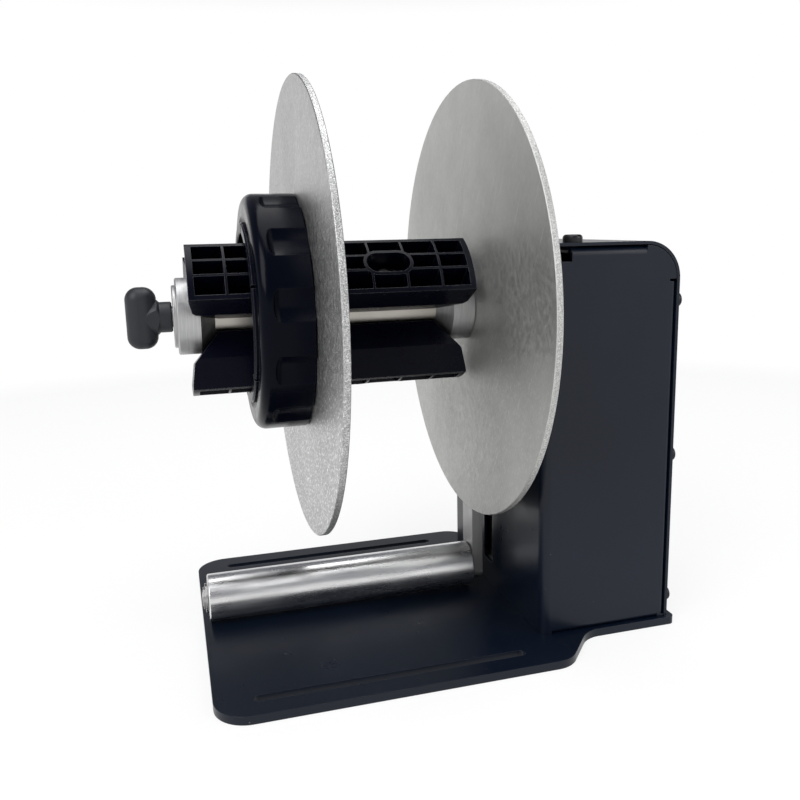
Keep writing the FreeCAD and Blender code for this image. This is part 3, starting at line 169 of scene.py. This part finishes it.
def black_coat():
    """Satin blue-black powder coat with a fine orange peel, a little dust, and edges lightened as a painted
    highlight.
    """
    s = Shader("black_coat", (0.0024, 0.0054, 0.013), 0.32, specular=0.28)
    s.rounded(0.0004)
    painted_edge_highlight = s.edge_mask(0.02, 0.25)
    cloud = s.noise(14, 3)
    dust = s.spread(s.noise(420, 2), 0.775, 0.80, 0.0, 1.0)
    base = s.mix(s.spread(cloud, 0.3, 0.7, 0, 1), (0.0018, 0.0044, 0.0110), (0.0030, 0.0064, 0.0150))
    # Painted highlight: edges mixed toward a lighter blue-grey
    base = s.mix(s.math("MULTIPLY", painted_edge_highlight, 0.4), base, (0.035, 0.040, 0.052))
    base = s.mix(s.math("MULTIPLY", dust, 0.6), base, (0.20, 0.20, 0.21))
    s.feed("Base Color", base)
    s.feed("Roughness", s.spread(s.noise(60, 4), 0.3, 0.7, 0.27, 0.35))
    s.bump(s.noise(1400, 2), 0.00005, 0.35)
    return s.done()


def flange_aluminium(name, dull, bright, rough, grit):
    """Blasted disc: soft stains, slanting scratches, grain lightened by a painted glare that fades upward,
    and a coarser rim.
    """
    s = Shader(name, dull, rough, metallic=1.0)
    s.rounded(0.0003)
    normal = s.node("ShaderNodeSeparateXYZ")
    s.link(s.node("ShaderNodeNewGeometry").outputs["Normal"], normal.inputs[0])
    rim = s.spread(s.math("ABSOLUTE", normal.outputs["X"]), 0.3, 0.8, 1.0, 0.0)
    place = s.node("ShaderNodeSeparateXYZ")
    s.link(s.coord, place.inputs[0])
    # Painted glare: full strength low on the disc, fading to 0.3 higher up
    painted_glare_fade = s.spread(place.outputs["Z"], PAINTED_GLARE_LOW, PAINTED_GLARE_HIGH, 1.0, 0.3)
    stain = s.noise(17, 4, (1, 1, 0.7), 0.55)
    hair = s.noise(800, 3, (1, 1, 0.06), 0.6, turn=HAIR_TURN)
    fine = s.noise(1250, 3, (1, 1, 0.5), 0.65, turn=HAIR_TURN)
    crumbs = s.noise(1900, 3, roughness=0.65)
    darker = tuple(c * 0.84 for c in dull)
    ground = s.mix(s.spread(stain, 0.35, 0.65, 0, 1), darker, dull)
    ground = s.mix(s.spread(hair, 0.60, 0.72, 0.0, 0.25), ground, bright)
    # Painted glare: the fine grain lightens toward the bright colour, most strongly low on the disc
    ground = s.mix(s.math("MULTIPLY", s.spread(fine, 0.53, 0.65, 0.0, grit), painted_glare_fade), ground, bright)
    cut = s.mix(s.spread(crumbs, 0.40, 0.68, 0.0, 0.7), tuple(c * 0.60 for c in dull), bright)
    s.feed("Base Color", s.mix(rim, ground, cut))
    satin = s.spread(s.noise(300, 3), 0.3, 0.7, rough - 0.05, rough + 0.05)
    s.feed("Roughness", s.math("MAXIMUM", satin, s.math("MULTIPLY", rim, 0.5)))
    height = s.math("ADD", s.math("MULTIPLY", fine, 0.7), s.math("MULTIPLY", hair, 0.3))
    coarse = s.math("ADD", s.math("MULTIPLY", rim, 0.3), grit)
    s.bump(s.math("MULTIPLY", height, coarse), 0.0003, 0.8)
    return s.done()


def machined_aluminium():
    """Turned aluminium with fine rings along X."""
    s = Shader("machined_aluminium", (0.46, 0.46, 0.46), 0.42, metallic=1.0)
    s.rounded(0.0002)
    rings = s.noise(90, 3, (60, 1, 1))
    s.feed("Base Color", s.mix(s.spread(rings, 0.3, 0.7, 0, 1), (0.36, 0.36, 0.365), (0.50, 0.50, 0.50)))
    s.feed("Roughness", s.spread(s.noise(250, 3), 0.3, 0.7, 0.36, 0.48))
    s.bump(rings, 0.00004, 0.4)
    return s.done()


def steel(name, color, rough_low, rough_high, stretch, depth):
    """Steel with drawn or ground lines."""
    s = Shader(name, color, rough_low, metallic=1.0)
    s.rounded(0.0002)
    lines = s.noise(160, 4, stretch, 0.6)
    darker = tuple(c * 0.86 for c in color)
    s.feed("Base Color", s.mix(s.spread(lines, 0.3, 0.7, 0, 1), darker, color))
    s.feed("Roughness", s.spread(s.noise(70, 4), 0.3, 0.7, rough_low, rough_high))
    s.bump(lines, depth, 0.4)
    return s.done()


def roller_steel():
    """Polished roller with streaks along it, fine scratches and a slightly wavy reflection."""
    s = Shader("roller_steel", (0.66, 0.66, 0.66), 0.16, metallic=1.0)
    s.rounded(0.0003)
    streaks = s.noise(260, 4, (0.05, 1, 1), 0.6)
    patches = s.noise(38, 3, (0.8, 1, 1))
    s.feed("Base Color", s.mix(s.spread(streaks, 0.35, 0.65, 0, 1), (0.66, 0.66, 0.665), (0.86, 0.86, 0.86)))
    rough = s.math("ADD", s.spread(patches, 0.35, 0.65, 0.20, 0.32), s.spread(streaks, 0.4, 0.7, 0.0, 0.10))
    s.feed("Roughness", rough)
    s.bump(s.noise(26, 2, (0.7, 1, 1)), 0.0016, 0.08)
    s.bump(s.noise(900, 3, (0.12, 1, 1), 0.65), 0.00008, 0.6)
    return s.done()


def moulded(name, color, highlight_edge_color, rough_low, rough_high, radius, specular=0.4):
    """Moulded plastic with edges lightened as a painted highlight, and a faint surface texture."""
    s = Shader(name, color, rough_low, specular=specular)
    s.rounded(radius)
    painted_edge_highlight = s.edge_mask(0.015, 0.22)
    # Painted highlight: edges mixed toward the lighter edge colour
    s.feed("Base Color", s.mix(painted_edge_highlight, color, highlight_edge_color))
    s.feed("Roughness", s.spread(s.noise(120, 4), 0.3, 0.7, rough_low, rough_high))
    s.bump(s.noise(1800, 2), 0.00003, 0.3)
    return s.done()


def plain_rubber():
    """Belt rubber with a fine weave of ribs."""
    s = Shader("drive_rubber", (0.02, 0.02, 0.02), 0.7)
    s.bump(s.noise(900, 3, (1, 3, 3)), 0.0001, 0.5)
    s.feed("Roughness", s.spread(s.noise(100, 3), 0.3, 0.7, 0.6, 0.8))
    return s.done()


def circuit_board():
    """Green solder mask with a faint pattern of tracks."""
    s = Shader("board", (0.02, 0.12, 0.05), 0.35)
    brick = s.node("ShaderNodeTexBrick")
    brick.inputs["Scale"].default_value = 120
    brick.inputs["Color1"].default_value = (0.015, 0.10, 0.04, 1)
    brick.inputs["Color2"].default_value = (0.02, 0.13, 0.05, 1)
    brick.inputs["Mortar"].default_value = (0.03, 0.20, 0.08, 1)
    brick.inputs["Mortar Size"].default_value = 0.03
    s.link(s.stretched((1, 0, 1)), brick.inputs["Vector"])
    s.feed("Base Color", brick.outputs["Color"])
    return s.done()


MATERIALS = {
    "black_coat": black_coat(),
    "flange_aluminium": flange_aluminium("flange_blasted", (0.42, 0.42, 0.417), (1.0, 1.0, 1.0), 0.40, 1.0),
    "machined_aluminium": machined_aluminium(),
    "shaft_steel": steel("shaft_steel", (0.44, 0.415, 0.38), 0.28, 0.40, (0.06, 1, 1), 0.00006),
    "roller_steel": roller_steel(),
    "arm_steel": steel("arm_steel", (0.46, 0.46, 0.455), 0.40, 0.52, (1, 1, 0.08), 0.00005),
    # The second colour of each moulded plastic is its painted edge highlight
    "mandrel_plastic": moulded("mandrel_plastic", (0.0012, 0.0017, 0.0060), (0.15, 0.155, 0.165),
                               0.24, 0.34, 0.00025, 0.12),
    "ring_plastic": moulded("ring_plastic", (0.0012, 0.0018, 0.0052), (0.010, 0.011, 0.015),
                            0.16, 0.24, 0.0008, 0.06),
    "knob_plastic": moulded("knob_plastic", (0.0085, 0.0105, 0.0145), (0.045, 0.048, 0.055),
                            0.42, 0.54, 0.0005),
    "screw_black": steel("screw_black", (0.035, 0.035, 0.038), 0.30, 0.42, (1, 1, 1), 0.00003),
    "zinc_steel": steel("zinc_steel", (0.50, 0.50, 0.49), 0.28, 0.42, (1, 1, 1), 0.00003),
    "bearing_steel": steel("bearing_steel", (0.58, 0.58, 0.58), 0.14, 0.24, (1, 1, 1), 0.00002),
    "drive_rubber": plain_rubber(),
    "board": circuit_board(),
    "control_plastic": moulded("control_plastic", (0.016, 0.017, 0.02), (0.05, 0.05, 0.052),
                               0.40, 0.52, 0.0003),
}

# Nodes whose finish differs from the rest of their slot
FINISHES = {
    "inner_flange": flange_aluminium("flange_smooth", (0.57, 0.574, 0.553), (0.84, 0.845, 0.83), 0.58, 0.30),
}


def dress_nodes():
    """Gives each CAD node the material of its slot."""
    for part in frame["record"]["subparts"]:
        mesh = NODES[part["node"]].data
        mesh.materials.clear()
        mesh.materials.append(FINISHES.get(part["node"], MATERIALS[part["material_slot"]]))


def area_light(name, at, target, size, power):
    """Rectangular soft light aimed at a point."""
    data = bpy.data.lights.new(name, "AREA")
    data.shape = "RECTANGLE"
    data.size, data.size_y = size
    data.energy = power
    lamp = bpy.data.objects.new(name, data)
    lamp.location = at
    lamp.rotation_euler = (Vector(target) - Vector(at)).to_track_quat("-Z", "Y").to_euler()
    bpy.context.scene.collection.objects.link(lamp)


def make_world():
    """White backdrop all around, and a dimmer room above it."""
    world = bpy.data.worlds.new("studio")
    bpy.context.scene.world = world
    world.use_nodes = True
    nodes, link = world.node_tree.nodes, world.node_tree.links.new
    coord = nodes.new("ShaderNodeTexCoord")
    split = nodes.new("ShaderNodeSeparateXYZ")
    link(coord.outputs["Generated"], split.inputs[0])
    low = nodes.new("ShaderNodeMapRange")
    low.interpolation_type = "SMOOTHSTEP"
    low.inputs["From Min"].default_value = BACKDROP_TOP
    low.inputs["From Max"].default_value = BACKDROP_FADE
    link(split.outputs["Z"], low.inputs["Value"])
    shade = nodes.new("ShaderNodeMix")
    shade.data_type = "RGBA"
    link(low.outputs["Result"], shade.inputs["Factor"])
    shade.inputs[MIX_A].default_value = ROOM_ABOVE
    shade.inputs[MIX_B].default_value = WHITE
    link(shade.outputs[MIX_RESULT], nodes["Background"].inputs["Color"])
    nodes["Background"].inputs["Strength"].default_value = 1.0


def make_floor():
    """Pale floor that turns white with distance."""
    mesh = bpy.data.meshes.new("floor")
    build = bmesh.new()
    bmesh.ops.create_circle(build, cap_ends=True, radius=FLOOR_RADIUS, segments=96)
    build.to_mesh(mesh)
    build.free()
    floor = bpy.data.objects.new("floor", mesh)
    floor.location = (0, 0, -FLOOR_DROP)
    bpy.context.scene.collection.objects.link(floor)
    s = Shader("floor", FLOOR_COLOR, 0.6, specular=0.0)
    away = s.node("ShaderNodeVectorMath", operation="LENGTH")
    s.link(s.coord, away.inputs[0])
    path = s.node("ShaderNodeLightPath")
    shows = s.math("MAXIMUM", path.outputs["Is Camera Ray"], path.outputs["Is Glossy Ray"])
    shows = s.math("MAXIMUM", shows, path.outputs["Is Transmission Ray"])
    near = s.math("MULTIPLY", shows, FLOOR_GLOW)
    far = s.spread(away.outputs["Value"], *FLOOR_FADE, 0.0, 1.0)
    glow = s.node("ShaderNodeEmission")
    glow.inputs["Color"].default_value = WHITE
    blend = s.node("ShaderNodeMixShader")
    s.link(s.math("MAXIMUM", near, far), blend.inputs["Fac"])
    s.link(s.bsdf.outputs["BSDF"], blend.inputs[1])
    s.link(glow.outputs["Emission"], blend.inputs[2])
    s.link(blend.outputs["Shader"], s.tree.nodes["Material Output"].inputs["Surface"])
    mesh.materials.append(s.done())


def make_camera():
    """Camera at the photograph's place."""
    data = bpy.data.cameras.new("camera")
    data.sensor_fit = "HORIZONTAL"
    data.sensor_width = SENSOR_MM
    data.lens = FOCAL_PX / IMAGE_SIZE * SENSOR_MM
    data.shift_x = (IMAGE_SIZE / 2 - CENTRE_PX[0]) / IMAGE_SIZE
    data.shift_y = (CENTRE_PX[1] - IMAGE_SIZE / 2) / IMAGE_SIZE
    data.clip_start = 0.01
    camera = bpy.data.objects.new("camera", data)
    turn = Matrix((CAMERA_RIGHT, CAMERA_UP, CAMERA_RIGHT.cross(CAMERA_UP))).transposed()
    camera.matrix_world = Matrix.Translation(CAMERA_AT) @ turn.to_4x4()
    bpy.context.scene.collection.objects.link(camera)
    bpy.context.scene.camera = camera


dress_nodes()
make_world()
make_floor()
for lamp in LAMPS:
    area_light(*lamp)
make_camera()
bpy.context.scene.view_settings.view_transform = "Standard"
